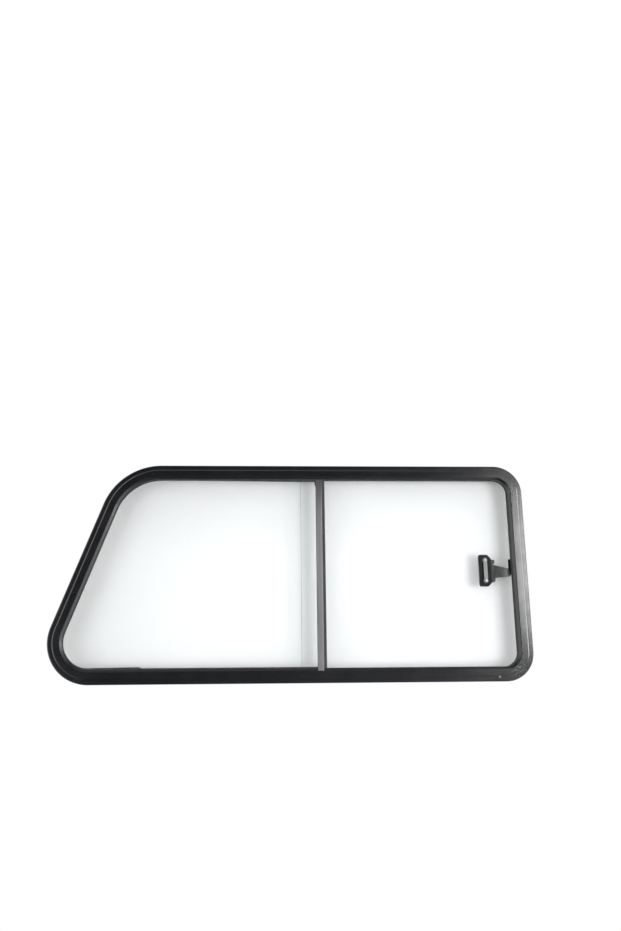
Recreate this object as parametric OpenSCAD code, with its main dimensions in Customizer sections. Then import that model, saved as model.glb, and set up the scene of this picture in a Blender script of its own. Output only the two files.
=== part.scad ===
// Half sliding window for a van or camper: a bent, bonded-in frame with a slanted end,
// a fixed pane on the slanted side and a rectangular pane that slides behind it.
// X runs along the window, Z is up and the outside faces -Y. The origin is on the rear
// face of the mounting flange, in the middle of the bottom run.

/* [Outline] */
// Overall length, over the rounded ends
length = 1000; // [860:10:1300]
// Overall height
height = 459; // [400:1:600]
// Lean of the slanted end from upright, in degrees
slant = 20; // [5:0.5:28]
// Outer radius of both corners at the sliding end
jamb_radius = 60; // [50:1:100]
// Outer radius of the upper corner at the slanted end
slant_top_radius = 128; // [60:1:150]
// Outer radius of the lower corner at the slanted end
slant_bottom_radius = 87; // [60:1:140]

/* [Frame section] */
// Width of the mounting flange outside the spigot
flange_w = 12; // [9:0.5:16]
// Thickness of the mounting flange
flange_t = 2.5; // [2:0.1:4]
// Thickness of the other walls of the extrusion
wall_t = 2; // [1.4:0.1:2.4]
// How far the front face stands in front of the flange's rear face
face_proud = 6; // [5.5:0.1:9]
// Depth of the spigot behind the flange's rear face
spigot_depth = 20; // [19:0.5:30]
// Inset of the metal sight edge from the outer edge
sight_inset = 30; // [28:0.5:36]
// Width of the bevel along the sight edge
bevel_w = 5; // [2:0.5:8]
// Drop of that bevel
bevel_drop = 1.6; // [0.5:0.1:1.6]
// Width of the closed chamber beside the spigot wall
chamber_w = 5.5; // [4:0.5:7]

/* [Outer bead] */
// Width of the bead that is clipped over the flange
bead_w = 9; // [7:0.5:10]
// Width of the groove between bead and face
groove_w = 1; // [0.6:0.1:2]
// How far the bead laps over the flange's edge
bead_lap = 1.5; // [1:0.1:2.5]

/* [Glass] */
// Thickness of both panes
glass_t = 4; // [3:0.5:5]
// How far a pane's edge stands off the floor of its track
glass_gap = 2; // [1.6:0.1:3]
// Thickness of the fixed pane's seal on each face
seal_t = 1.2; // [0.8:0.1:2]
// How far that seal shows past the sight edge
seal_show = 4; // [1:0.5:6]
// How far the closed sliding pane runs on behind the mullion
slider_overlap = 36; // [20:1:60]
// Gap between the closed pane and the floor of the jamb's channel
leading_gap = 0.8; // [0.5:0.1:3]
// Radius of the sliding pane's leading corners
slider_radius = 38; // [20:1:40]
// Radius of the sliding pane's trailing corners
slider_tail_radius = 8; // [3:1:15]

/* [Run channel] */
// Width of the sliding pane's track
run_w = 10.8; // [10:0.2:14]
// Thickness of the flocked channel's walls
run_t = 1.2; // [0.8:0.1:1.8]
// Running clearance between the lips and the pane
run_gap = 0.3; // [0.2:0.05:0.6]
// Length of each travel stop
stop_l = 5; // [3:0.5:12]
// Length of a glide shoe
shoe_l = 40; // [20:1:60]
// Distance from a pane's edge to its shoe
shoe_inset = 60; // [45:1:100]

/* [Mullion] */
// Middle of the mullion along the window
mullion_x = 60; // [40:1:120]
// Width of the mullion's metal face
mullion_face_w = 13; // [10:0.5:18]
// Width of its rubber wiper strip
wiper_w = 6; // [5:0.5:10]
// How far the mullion's face stands in front of the frame's face
mullion_proud = 1.6; // [1:0.1:3]
// How far its lower end laps over the frame's face
mullion_lap = 5.5; // [5.5:0.5:12]

/* [Latch] */
// Height of the latch's middle above the origin
latch_z = 226; // [150:1:300]
// Distance from the leading edge of the glass to the two latch holes
latch_inset = 64; // [44:1:70]
// Spacing of the two latch holes
hole_pitch = 44; // [36:1:50]
// Diameter of the holes in the glass
hole_d = 9; // [7:0.5:12]
// Height of the latch's base
base_h = 68; // [62:1:80]
// Width of the latch's base
base_w = 27; // [22:1:32]
// Width of the lever at its root
lever_w = 30; // [22:1:34]
// Height of the keeper
keeper_h = 34; // [26:1:40]
// How far the keeper's middle stands above the latch's
keeper_rise = 8; // [0:0.5:9]
// How far the keeper shows past the sight edge
keeper_show = 4; // [2:0.5:6]
// Angle that the lever lifts to release the keeper
lever_lift = 20; // [12:1:30]
// Diameter of the pin that the lever turns on
pin_d = 4; // [3:0.5:5]
// Play of that pin in the lever's bore, on the diameter
pin_play = 0.1; // [0.05:0.01:0.2]

/* [Frame joint] */
// Distance from the lower bend at the slanted end to the frame's butt joint
joint_from_bend = 183; // [60:1:260]
// Length of the plate that bridges it
joint_plate_l = 70; // [40:1:100]

/* [Hidden] */
$fn = 64;

// Angle that one chord of a pane's corner spans, in degrees
arc_step = 5;
// The same for the small corners of the latch's base
small_arc_step = 15;
// Gap at each end of the leaning run, too fine to see
hairline = 0.005;
// Angle between the points of the bead's round, in degrees
bead_step = 15;

// Depths, from the front to the rear
y_face = -face_proud;
y_front_track = y_face + wall_t;
front_track_w = glass_t + 2 * seal_t;
y_rib = y_front_track + front_track_w;
y_run = y_rib + wall_t;
y_back = y_run + run_w;
y_fixed = y_front_track + seal_t;
y_slider = y_run + (run_w - glass_t) / 2;
y_slider_rear = y_slider + glass_t;

// Insets from the outer edge
face_inset = bead_w + groove_w;
floor_less = 0.5;
floor_t = wall_t - floor_less;
floor_inset = flange_w + wall_t + chamber_w + floor_t;
glass_inset = floor_inset + glass_gap;
back_inset = sight_inset + 1;

// The outline's unrounded corners in clockwise order seen from outside, as x, z and radius
base_z = -flange_w / 2;
top_z = base_z + height;
half_l = length / 2;
low_x = -half_l - slant_bottom_radius * (1 / tan(45 - slant / 2) - 1);
high_x = low_x + height * tan(slant);
outline = [
    [half_l, base_z, jamb_radius],
    [low_x, base_z, slant_bottom_radius],
    [high_x, top_z, slant_top_radius],
    [half_l, top_z, jamb_radius],
];
low_right = 0;
low_left = 1;
high_left = 2;
high_right = 3;
SLANT = 1;
JAMB = 3;

// Ends of the straight top and bottom runs
run_left = high_x + slant_top_radius * tan(45 - slant / 2);
run_right = half_l - jamb_radius;
low_run_left = -half_l + slant_bottom_radius;
joint_x = low_run_left + joint_from_bend;

// Mullion
mullion_left = mullion_x - (mullion_face_w + wiper_w) / 2;
wiper_left = mullion_left + mullion_face_w;
mullion_right = wiper_left + wiper_w;
web_t = 4.2;
mullion_lip = 1;
web_x = wiper_left - web_t;
fixed_edge = web_x - glass_gap;
low_sight = base_z + sight_inset;
high_sight = top_z - sight_inset;

// Sliding pane
leading_x = half_l - floor_inset - run_t - leading_gap;
trailing_x = mullion_left - slider_overlap;
low_glass = base_z + glass_inset;
high_glass = top_z - glass_inset;
slider = [
    [leading_x, low_glass, slider_radius],
    [trailing_x, low_glass, slider_tail_radius],
    [trailing_x, high_glass, slider_tail_radius],
    [leading_x, high_glass, slider_radius],
];

// Outer bead
bead_y = y_face + 0.8;
bead_round = 2;
bead_arris = 0.5;

// Plate and rivets at the frame's joint
joint_plate_t = 1.5;
joint_plate_w = chamber_w + floor_t;
joint_plate_z = base_z + flange_w + wall_t;
rivet_pitch = joint_plate_l / 4;
rivet_head_d = 5;
rivet_head_t = 1;

// Glide shoes, clear of the channel's floor and lips
shoe_wall = 1;
shoe_drop = 0.5;
shoe_grip = 2.5;

// Latch
latch_x = leading_x - latch_inset;
base_t = 8;
base_cut = 8;
base_corner = 3;
crown_t = 2;
crown_inset = 1.5;
screw_d = 5;
screw_head_d = 9;
screw_head_t = 2.5;
strip_t = 2;
strip_w = 8;
strip_l = hole_pitch + 9;
fit = 0.3;
y_base = y_slider_rear + base_t;
keeper_edge = half_l - sight_inset - keeper_show;
keeper_z = latch_z + keeper_rise;
keeper_t = 3;
keeper_w = 20;
keeper_cut_w = 3.5;
keeper_cut_h = 9;
keeper_screw_d = 3.5;
keeper_screw_in = 5;
keeper_head_d = 6.6;
keeper_head_t = 1.5;
ridge_w = 4.5;
ridge_h = 2.8;
y_keeper = y_back + wall_t;
y_plate = y_keeper + keeper_t;
y_ridge = y_plate + ridge_h;
lever_t = 4;
lever_gap = 0.5;
y_lever = y_ridge + lever_gap;
tooth_gap = 1;
tooth_x = keeper_edge + ridge_w + tooth_gap;
tooth_w = 4;
tip_w = lever_w * 0.55;
lever_end = tooth_x + tooth_w;
pin_out = 3.5;
pin_x = latch_x + base_w / 2 + pin_out;
pin_y = y_lever + lever_t / 2;
ear_r = 4;
ear_t = 8;
boss_r = 3.7;

// Geometry of a rounded outline: a heading is an angle in the plane of X and Z

function pick(corners, i) = corners[(i + len(corners)) % len(corners)];
function heading(a, b) = atan2(b[1] - a[1], b[0] - a[0]);
function heading_in(corners, i) = heading(pick(corners, i - 1), pick(corners, i));
function heading_out(corners, i) = heading(pick(corners, i), pick(corners, i + 1));
function turn(corners, i) = (heading_in(corners, i) - heading_out(corners, i) + 360) % 360;
function reach(corners, i) = pick(corners, i)[2] * tan(turn(corners, i) / 2);
function ahead(point, h, distance) = [point[0] + distance * cos(h), point[1] + distance * sin(h)];
function inward(point, h, distance) = [point[0] + distance * sin(h), point[1] - distance * cos(h)];
function bend_start(corners, i) =
    ahead(pick(corners, i), heading_in(corners, i), -reach(corners, i));
function bend_end(corners, i) =
    ahead(pick(corners, i), heading_out(corners, i), reach(corners, i));
function centre(corners, i) =
    inward(bend_start(corners, i), heading_in(corners, i), pick(corners, i)[2]);

// Sweeps of a section whose x is the inset from the outline and whose y is the depth

// One straight run, from corner i to the next. A leaning run stands a hair off its bends.
module run(corners, i) {
    h = heading_out(corners, i);
    hair = h % 90 == 0 ? 0 : hairline;
    a = ahead(bend_end(corners, i), h, hair);
    b = ahead(bend_start(corners, i + 1), h, -hair);
    translate([a[0], 0, a[1]])
        rotate([0, 90 - h, 0])
            linear_extrude(norm(b - a)) children();
}

// The bend at corner i
module bend(corners, i) {
    c = centre(corners, i);
    translate([c[0], 0, c[1]])
        rotate([-90, 0, 0])
            rotate([0, 0, -90 - heading_in(corners, i)])
                rotate_extrude(angle = turn(corners, i))
                    translate([pick(corners, i)[2], 0]) mirror([1, 0, 0]) children();
}

// All the way round
module ring(corners) {
    for (i = [0:len(corners) - 1]) {
        run(corners, i) children();
        bend(corners, i) children();
    }
}

// Along the bottom between two places on X
module bottom_stretch(x0, x1) {
    translate([x1, 0, base_z]) rotate([0, -90, 0]) linear_extrude(x1 - x0) children();
}

// Along the top between two places on X
module top_stretch(x0, x1) {
    translate([x0, 0, top_z]) rotate([0, 90, 0]) linear_extrude(x1 - x0) children();
}

// Points round an outline at an inset, with its arcs as short chords
function outline_points(corners, inset, step) = [
    for (i = [0:len(corners) - 1])
        let (
            c = centre(corners, i),
            r = pick(corners, i)[2] - inset,
            first = heading_in(corners, i) + 90,
            steps = ceil(turn(corners, i) / step)
        )
        for (k = [0:steps])
            let (a = first - turn(corners, i) * k / steps)
            [c[0] + r * cos(a), c[1] + r * sin(a)]
];

// A flat plate inside an outline, from depth y over thickness t
module plate(corners, y, t, inset = 0, step = arc_step) {
    translate([0, y + t, 0])
        rotate([90, 0, 0])
            linear_extrude(t) polygon(outline_points(corners, inset, step));
}

// A box between two opposite corners
module block(low, high) {
    translate(low) cube(high - low);
}

// A cylinder along Y from depth y0 to y1
module rod_y(x, z, d, y0, y1) {
    translate([x, y0, z]) rotate([-90, 0, 0]) cylinder(h = y1 - y0, d = d);
}

// Frame

// Section of the extrusion: face, flange, spigot wall, track floor, rib and back wall
module frame_section() {
    polygon([
        [face_inset, y_face],
        [sight_inset - bevel_w, y_face],
        [sight_inset, y_face + bevel_drop],
        [sight_inset, y_front_track],
        [face_inset, y_front_track],
    ]);
    translate([bead_lap, -flange_t]) square([flange_w + wall_t - bead_lap, flange_t]);
    translate([flange_w, y_front_track]) square([wall_t, spigot_depth - y_front_track]);
    translate([floor_inset - floor_t, y_front_track]) square([floor_t, y_back - y_front_track]);
    translate([floor_inset - floor_t, y_rib]) square([sight_inset - floor_inset + floor_t, wall_t]);
    translate([flange_w, y_back]) square([back_inset - flange_w, wall_t]);
}

module frame_profile() {
    color([0.12, 0.12, 0.13]) ring(outline) frame_section();
}

// A low bead on the flange, rounded outside, with a lip over the flange's edge
module bead_section() {
    polygon([
        for (a = [0:bead_step:90])
            [bead_round * (1 - cos(a)), bead_y + bead_round * (1 - sin(a))],
        [bead_w - bead_arris, bead_y],
        [bead_w, bead_y + bead_arris],
        [bead_w, -flange_t],
        [bead_lap, -flange_t],
        [bead_lap, 0],
        [0, 0],
    ]);
}

module outer_bead() {
    color([0.06, 0.06, 0.06]) ring(outline) bead_section();
}

// The plate that bridges the butt joint, on the rear of the chamber
module frame_joint_plate() {
    color([0.55, 0.56, 0.57])
        block([joint_x - joint_plate_l / 2, y_keeper, joint_plate_z],
              [joint_x + joint_plate_l / 2, y_keeper + joint_plate_t, joint_plate_z + joint_plate_w]);
}

module joint_rivets() {
    y = y_keeper + joint_plate_t;
    color([0.7, 0.7, 0.7])
        for (i = [-1.5, -0.5, 0.5, 1.5])
            rod_y(joint_x + i * rivet_pitch, joint_plate_z + joint_plate_w / 2, rivet_head_d,
                  y, y + rivet_head_t);
}

// Fixed pane

module fixed_glass() {
    color([0.75, 0.85, 0.8, 0.35])
        intersection() {
            plate(outline, y_fixed, glass_t, glass_inset);
            block([-length, y_fixed - glass_t, base_z], [fixed_edge, y_fixed + 2 * glass_t, top_z]);
        }
}

// U-shaped rubber over the pane's edge, as a section of inset and depth
module seal_section() {
    translate([floor_inset, y_front_track]) square([glass_gap, front_track_w]);
    translate([floor_inset, y_front_track])
        square([sight_inset + seal_show - floor_inset, seal_t]);
    translate([floor_inset, y_rib - seal_t]) square([sight_inset - floor_inset, seal_t]);
}

// The seal follows the pane round and closes in the mullion
module fixed_glass_seal() {
    tail = mullion_left - mullion_lip;
    color([0.05, 0.05, 0.05]) {
        bottom_stretch(bend_start(outline, low_left)[0], tail) seal_section();
        bend(outline, low_left) seal_section();
        run(outline, SLANT) seal_section();
        bend(outline, high_left) seal_section();
        top_stretch(bend_end(outline, high_left)[0], tail) seal_section();
        block([tail, y_front_track, base_z + floor_inset],
              [web_x, y_front_track + seal_t, top_z - floor_inset]);
        block([mullion_left, y_rib - seal_t, base_z + floor_inset],
              [web_x, y_rib, top_z - floor_inset]);
        block([fixed_edge, y_front_track, base_z + floor_inset],
              [web_x, y_rib, top_z - floor_inset]);
    }
}

// Mullion

// Section across the bar, as x and y
module mullion_section() {
    chamfer = mullion_proud / 2;
    y_front = y_face - mullion_proud;
    polygon([
        [mullion_left, y_front_track],
        [mullion_left, y_front + chamfer],
        [mullion_left + chamfer, y_front],
        [wiper_left - chamfer, y_front],
        [wiper_left, y_front + chamfer],
        [wiper_left, y_run],
        [mullion_left, y_run],
        [mullion_left, y_rib],
        [web_x, y_rib],
        [web_x, y_front_track],
    ]);
}

module mullion_bar() {
    color([0.3, 0.3, 0.31]) {
        translate([0, 0, low_sight]) linear_extrude(high_sight - low_sight) mullion_section();
        block([mullion_left, y_face - mullion_proud, low_sight - mullion_lap],
              [wiper_left, y_face, low_sight]);
    }
}

// Rubber strip with a lip that reaches back to the sliding pane
module mullion_wiper() {
    lip = 2;
    flare = 2.5;
    color([0.05, 0.05, 0.05])
        translate([0, 0, low_sight])
            linear_extrude(high_sight - low_sight)
                polygon([
                    [wiper_left, y_face - mullion_proud / 2],
                    [mullion_right, y_face + mullion_proud],
                    [mullion_right, y_front_track + wall_t],
                    [wiper_left + lip, y_front_track + 2 * wall_t],
                    [wiper_left + lip, y_run],
                    [wiper_left + lip + flare, y_slider - run_gap],
                    [wiper_left + flare, y_slider - run_gap],
                    [wiper_left, y_run],
                ]);
}

// Cleat in the front track that holds an end of the bar
module mullion_bottom_cleat() {
    color([0.2, 0.2, 0.2])
        block([web_x, y_front_track, base_z + floor_inset], [mullion_right, y_rib, low_sight]);
}

module mullion_top_cleat() {
    color([0.2, 0.2, 0.2])
        block([web_x, y_front_track, high_sight], [mullion_right, y_rib, top_z - floor_inset]);
}

// Sliding half

// Rubber that closes the front track, with a lip that wipes the sliding pane
module side_seal_section() {
    nose = 1;
    polygon([
        [floor_inset, y_front_track],
        [sight_inset + nose, y_front_track],
        [sight_inset + 2 * nose, y_front_track + 2 * nose],
        [sight_inset + 2 * nose, y_rib],
        [sight_inset + 2.6 * nose, y_slider - run_gap],
        [sight_inset + 1.6 * nose, y_slider - run_gap],
        [sight_inset + 0.3 * nose, y_rib],
        [floor_inset, y_rib],
    ]);
}

module slider_side_seal() {
    color([0.05, 0.05, 0.05]) {
        bottom_stretch(mullion_right, run_right) side_seal_section();
        bend(outline, low_right) side_seal_section();
        run(outline, JAMB) side_seal_section();
        bend(outline, high_right) side_seal_section();
        top_stretch(mullion_right, run_right) side_seal_section();
    }
}

// Flocked channel with a lip on each side of the pane
module channel_section() {
    lip_w = 1;
    lip_root = 2.2;
    y0 = y_run;
    y1 = y_back;
    near = y_slider - run_gap;
    far = y_slider_rear + run_gap;
    polygon([
        [floor_inset, y0],
        [sight_inset, y0],
        [sight_inset, y0 + run_t],
        [sight_inset - lip_w, near],
        [sight_inset - 2 * lip_w, near],
        [sight_inset - lip_root, y0 + run_t],
        [floor_inset + run_t, y0 + run_t],
        [floor_inset + run_t, y1 - run_t],
        [sight_inset - lip_root, y1 - run_t],
        [sight_inset - 2 * lip_w, far],
        [sight_inset - lip_w, far],
        [sight_inset, y1 - run_t],
        [sight_inset, y1],
        [floor_inset, y1],
    ]);
}

module top_run_channel() {
    color([0.1, 0.1, 0.1]) top_stretch(run_left, run_right) channel_section();
}

module bottom_run_channel() {
    color([0.1, 0.1, 0.1]) bottom_stretch(run_left, run_right) channel_section();
}

module jamb_run_channel() {
    color([0.1, 0.1, 0.1]) {
        bend(outline, low_right) channel_section();
        run(outline, JAMB) channel_section();
        bend(outline, high_right) channel_section();
    }
}

// Buffer in the channel's end, which the trailing edge meets
module stop_block(z0, z1) {
    color([0.08, 0.08, 0.08])
        block([run_left, y_slider, z0], [run_left + stop_l, y_slider_rear, z1]);
}

module top_travel_stop() {
    z = top_z - floor_inset - run_t;
    stop_block(z - glass_gap * 3, z);
}

module bottom_travel_stop() {
    z = base_z + floor_inset + run_t;
    stop_block(z, z + glass_gap * 3);
}

module sliding_glass() {
    color([0.75, 0.85, 0.8, 0.35])
        difference() {
            plate(slider, y_slider, glass_t);
            for (side = [-1, 1])
                rod_y(latch_x, latch_z + side * hole_pitch / 2, hole_d,
                      y_slider - 1, y_slider_rear + 1);
        }
}

// A nylon shoe clipped over the pane's edge
module shoe(x, z_edge, up) {
    z_out = z_edge - up * shoe_drop;
    z_in = z_edge + up * shoe_grip;
    difference() {
        block([x, y_slider - shoe_wall, min(z_out, z_in)],
              [x + shoe_l, y_slider_rear + shoe_wall, max(z_out, z_in)]);
        block([x - 1, y_slider, min(z_edge, z_in + up)],
              [x + shoe_l + 1, y_slider_rear, max(z_edge, z_in + up)]);
    }
}

module shoes(z_edge, up) {
    shoe(trailing_x + shoe_inset, z_edge, up);
    shoe(leading_x - shoe_inset - shoe_l, z_edge, up);
}

module bottom_glide_shoes() {
    color([0.85, 0.85, 0.8]) shoes(low_glass, 1);
}

module top_glide_shoes() {
    color([0.85, 0.85, 0.8]) shoes(high_glass, -1);
}

// Latch

// Bar on the inside of the glass, cut off at the corners beside the lever, with two ears
module latch_base() {
    low = latch_z - base_h / 2;
    high = latch_z + base_h / 2;
    left = latch_x - base_w / 2;
    right = latch_x + base_w / 2;
    body = [
        [right, low + base_cut, base_corner],
        [right - base_cut, low, base_corner],
        [left, low, base_corner],
        [left, high, base_corner],
        [right - base_cut, high, base_corner],
        [right, high - base_cut, base_corner],
    ];
    color([0.07, 0.07, 0.07])
        difference() {
            union() {
                plate(body, y_slider_rear, base_t - crown_t, 0, small_arc_step);
                plate(body, y_slider_rear, base_t, crown_inset, small_arc_step);
                for (side = [-1, 1])
                    latch_ear(latch_z + side * (lever_w / 2 + fit + ear_t / 2));
            }
            for (side = [-1, 1])
                rod_y(latch_x, latch_z + side * hole_pitch / 2, screw_d,
                      y_slider_rear - 1, y_base + 1);
            translate([pin_x, pin_y, latch_z - base_h / 2]) cylinder(h = base_h, d = pin_d);
        }
}

// An ear round the pin, with a foot that runs back to the base
module latch_ear(z) {
    translate([pin_x, pin_y, z - ear_t / 2]) cylinder(h = ear_t, r = ear_r);
    block([pin_x - base_w / 3, y_slider_rear + fit, z - ear_t / 2], [pin_x + ear_r, pin_y, z + ear_t / 2]);
}

module latch_clamp_strip() {
    color([0.8, 0.8, 0.8])
        difference() {
            block([latch_x - strip_w / 2, y_slider - strip_t, latch_z - strip_l / 2],
                  [latch_x + strip_w / 2, y_slider, latch_z + strip_l / 2]);
            for (side = [-1, 1])
                rod_y(latch_x, latch_z + side * hole_pitch / 2, screw_d,
                      y_slider - strip_t - 1, y_slider + 1);
        }
}

// Bushes that keep the screws off the glass
module latch_hole_bushes() {
    color([0.85, 0.85, 0.8])
        for (side = [-1, 1])
            difference() {
                rod_y(latch_x, latch_z + side * hole_pitch / 2, hole_d, y_slider, y_slider_rear);
                rod_y(latch_x, latch_z + side * hole_pitch / 2, screw_d,
                      y_slider - 1, y_slider_rear + 1);
            }
}

module latch_screws() {
    color([0.6, 0.6, 0.6])
        for (side = [-1, 1]) {
            z = latch_z + side * hole_pitch / 2;
            rod_y(latch_x, z, screw_d, y_slider - strip_t, y_base);
            rod_y(latch_x, z, screw_head_d, y_base, y_base + screw_head_t);
        }
}

module latch_pin() {
    pin_l = lever_w + 2 * fit + 2 * ear_t;
    color([0.7, 0.7, 0.7])
        translate([pin_x, pin_y, latch_z - pin_l / 2]) cylinder(h = pin_l, d = pin_d);
}

// The lever as it stands when it holds the keeper: tapered tongue, boss and tooth
module engaged_lever() {
    difference() {
        union() {
            translate([0, y_lever + lever_t, 0])
                rotate([90, 0, 0])
                    linear_extrude(lever_t)
                        polygon([
                            [pin_x, latch_z - lever_w / 2],
                            [lever_end, latch_z - tip_w / 2],
                            [lever_end, latch_z + tip_w / 2],
                            [pin_x, latch_z + lever_w / 2],
                        ]);
            translate([pin_x, pin_y, latch_z - lever_w / 2]) cylinder(h = lever_w, r = boss_r);
            block([tooth_x, y_plate + lever_gap, latch_z - tip_w / 2],
                  [lever_end, y_lever + lever_t, latch_z + tip_w / 2]);
        }
        translate([pin_x, pin_y, latch_z - lever_w]) cylinder(h = 2 * lever_w, d = pin_d + pin_play);
    }
}

// At rest the lever is lifted clear of the keeper
module latch_lever() {
    color([0.07, 0.07, 0.07])
        translate([pin_x, pin_y, 0])
            rotate([0, 0, lever_lift])
                translate([-pin_x, -pin_y, 0])
                    engaged_lever();
}

// A keeper's outline over a width and a thickness, cut away at its lower inner corner
module keeper_slab(w, t) {
    low = keeper_z - keeper_h / 2;
    high = keeper_z + keeper_h / 2;
    translate([keeper_edge, y_keeper + t, 0])
        rotate([90, 0, 0])
            linear_extrude(t)
                polygon([[keeper_cut_w, low], [0, low + keeper_cut_h], [0, high], [w, high], [w, low]]);
}

// Plate on the rear of the jamb with a ridge that the lever's tooth hooks behind
module latch_keeper() {
    color([0.07, 0.07, 0.07])
        difference() {
            union() {
                keeper_slab(keeper_w, keeper_t);
                keeper_slab(ridge_w, keeper_t + ridge_h);
            }
            keeper_holes(y_keeper - 1, y_plate + 1, keeper_screw_d);
        }
}

module keeper_holes(y0, y1, d) {
    for (side = [-1, 1])
        rod_y(keeper_edge + keeper_w - keeper_screw_in, keeper_z + side * keeper_h / 3, d, y0, y1);
}

module keeper_screws() {
    color([0.6, 0.6, 0.6]) {
        keeper_holes(y_keeper, y_plate, keeper_screw_d);
        keeper_holes(y_plate, y_plate + keeper_head_t, keeper_head_d);
    }
}

frame_profile();
outer_bead();
frame_joint_plate();
joint_rivets();
fixed_glass();
fixed_glass_seal();
mullion_bar();
mullion_wiper();
mullion_top_cleat();
mullion_bottom_cleat();
slider_side_seal();
top_run_channel();
bottom_run_channel();
jamb_run_channel();
top_travel_stop();
bottom_travel_stop();
latch_keeper();
keeper_screws();
sliding_glass();
bottom_glide_shoes();
top_glide_shoes();
latch_base();
latch_clamp_strip();
latch_hole_bushes();
latch_screws();
latch_pin();
latch_lever();
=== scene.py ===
"""Looks for the sliding window: refined sections swept round the CAD outline, their
materials, a pale studio and the camera. Lengths are in millimetres until a mesh is made."""

import math

import bmesh
import bpy
from mathutils import Matrix, Vector


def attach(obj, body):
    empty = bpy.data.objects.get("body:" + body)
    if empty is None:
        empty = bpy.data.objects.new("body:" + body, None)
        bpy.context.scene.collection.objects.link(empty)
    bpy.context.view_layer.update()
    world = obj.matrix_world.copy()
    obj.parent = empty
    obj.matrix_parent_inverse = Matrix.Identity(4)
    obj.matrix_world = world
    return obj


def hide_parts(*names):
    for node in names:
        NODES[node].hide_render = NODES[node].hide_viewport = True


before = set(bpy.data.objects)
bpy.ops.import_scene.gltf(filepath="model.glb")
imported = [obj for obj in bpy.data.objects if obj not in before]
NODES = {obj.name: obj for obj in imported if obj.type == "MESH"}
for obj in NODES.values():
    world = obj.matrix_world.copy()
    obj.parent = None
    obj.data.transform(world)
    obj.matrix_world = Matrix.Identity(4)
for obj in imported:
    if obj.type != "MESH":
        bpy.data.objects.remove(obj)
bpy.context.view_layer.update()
MM = 0.001

# The outline and the depths, as in the CAD source
LENGTH, HEIGHT, SLANT = 1000.0, 459.0, math.radians(20.0)
JAMB_R, TOP_R, LOW_R = 60.0, 128.0, 87.0
BASE_Z = -6.0
TOP_Z = BASE_Z + HEIGHT
HALF = LENGTH / 2
FACE_IN, WALL_IN, LIP_IN = 10.0, 21.0, 29.0
TRACK_Y = -4.0
JAMB_BEND_X = HALF - JAMB_R
FIXED_Y, SLIDER_Y, GLASS_T = -2.8, 7.8, 4.0
GLASS_IN = 23.0
MULLION_L, WIPER_L, MULLION_R = 51.2, 63.5, 69.5
LEADING_X, TRAILING_X = 477.0, 18.0
LATCH_X, LATCH_Z, KEEPER_Z = 413.0, 226.0, 234.0
PIN_X, PIN_Y = 430.0, 25.5
JOINT_X = -230.0
WEB_X = 59.3
LATCH_HALF_W, LATCH_HALF_H, HOLE_HALF = 13.5, 34.0, 22.0

# Heights between their ends at which upright pieces get a ring of points
MIDDLE_Z = (120, 230, 330)


# The outline is walked clockwise, from the right end of the bottom run

def heading(a, b):
    return math.atan2(b[1] - a[1], b[0] - a[0])


low_x = -HALF - LOW_R * (1 / math.tan(math.pi / 4 - SLANT / 2) - 1)
high_x = low_x + HEIGHT * math.tan(SLANT)
CORNERS = [(HALF, BASE_Z, JAMB_R), (low_x, BASE_Z, LOW_R), (high_x, TOP_Z, TOP_R), (HALF, TOP_Z, JAMB_R)]


def corner(i):
    """Start point, end point, centre, first heading and turn of bend i."""
    a, b, c = CORNERS[i - 1], CORNERS[i % 4], CORNERS[(i + 1) % 4]
    h0, h1 = heading(a, b), heading(b, c)
    turn = (h0 - h1) % (2 * math.pi)
    reach = b[2] * math.tan(turn / 2)
    start = (b[0] - reach * math.cos(h0), b[1] - reach * math.sin(h0))
    end = (b[0] + reach * math.cos(h1), b[1] + reach * math.sin(h1))
    middle = (start[0] + b[2] * math.sin(h0), start[1] - b[2] * math.cos(h0))
    return start, end, middle, h0, turn


def segments():
    """Straight runs and bends in clockwise order, from the right end of the bottom run."""
    out, gone = [], 0.0
    for i in range(4):
        start, end = corner(i)[1], corner(i + 1)[0]
        long = math.dist(start, end)
        out.append(("run", gone, long, start, heading(start, end)))
        gone += long
        _, _, middle, h0, turn = corner(i + 1)
        radius = CORNERS[(i + 1) % 4][2]
        out.append(("bend", gone, radius * turn, middle, h0, turn, radius))
        gone += radius * turn
    return out, gone


SEGMENTS, ROUND = segments()
BOTTOM_END = SEGMENTS[0][3][0]
TOP_START, TOP_S = SEGMENTS[4][3][0], SEGMENTS[4][1]


def bottom_at(x):
    """Distance round the outline at which the bottom run is at x."""
    return BOTTOM_END - x


def top_at(x):
    """Distance round the outline at which the top run is at x."""
    return TOP_S + x - TOP_START


def station(s):
    """The outline's x, z and heading at distance s."""
    wrapped = s % ROUND
    seg = next(g for g in reversed(SEGMENTS) if g[1] <= wrapped + 1e-9)
    t = wrapped - seg[1]
    if seg[0] == "run":
        (x, z), h = seg[3], seg[4]
        return x + t * math.cos(h), z + t * math.sin(h), h
    (x, z), h0, turn, radius = seg[3:]
    h = h0 - turn * t / seg[2]
    return x - radius * math.sin(h), z + radius * math.cos(h), h


# Longest step on a straight run, and least distance from the ends and the extra marks
RUN_STEP = 40.0
LEAST_GAP = 0.3


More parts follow.
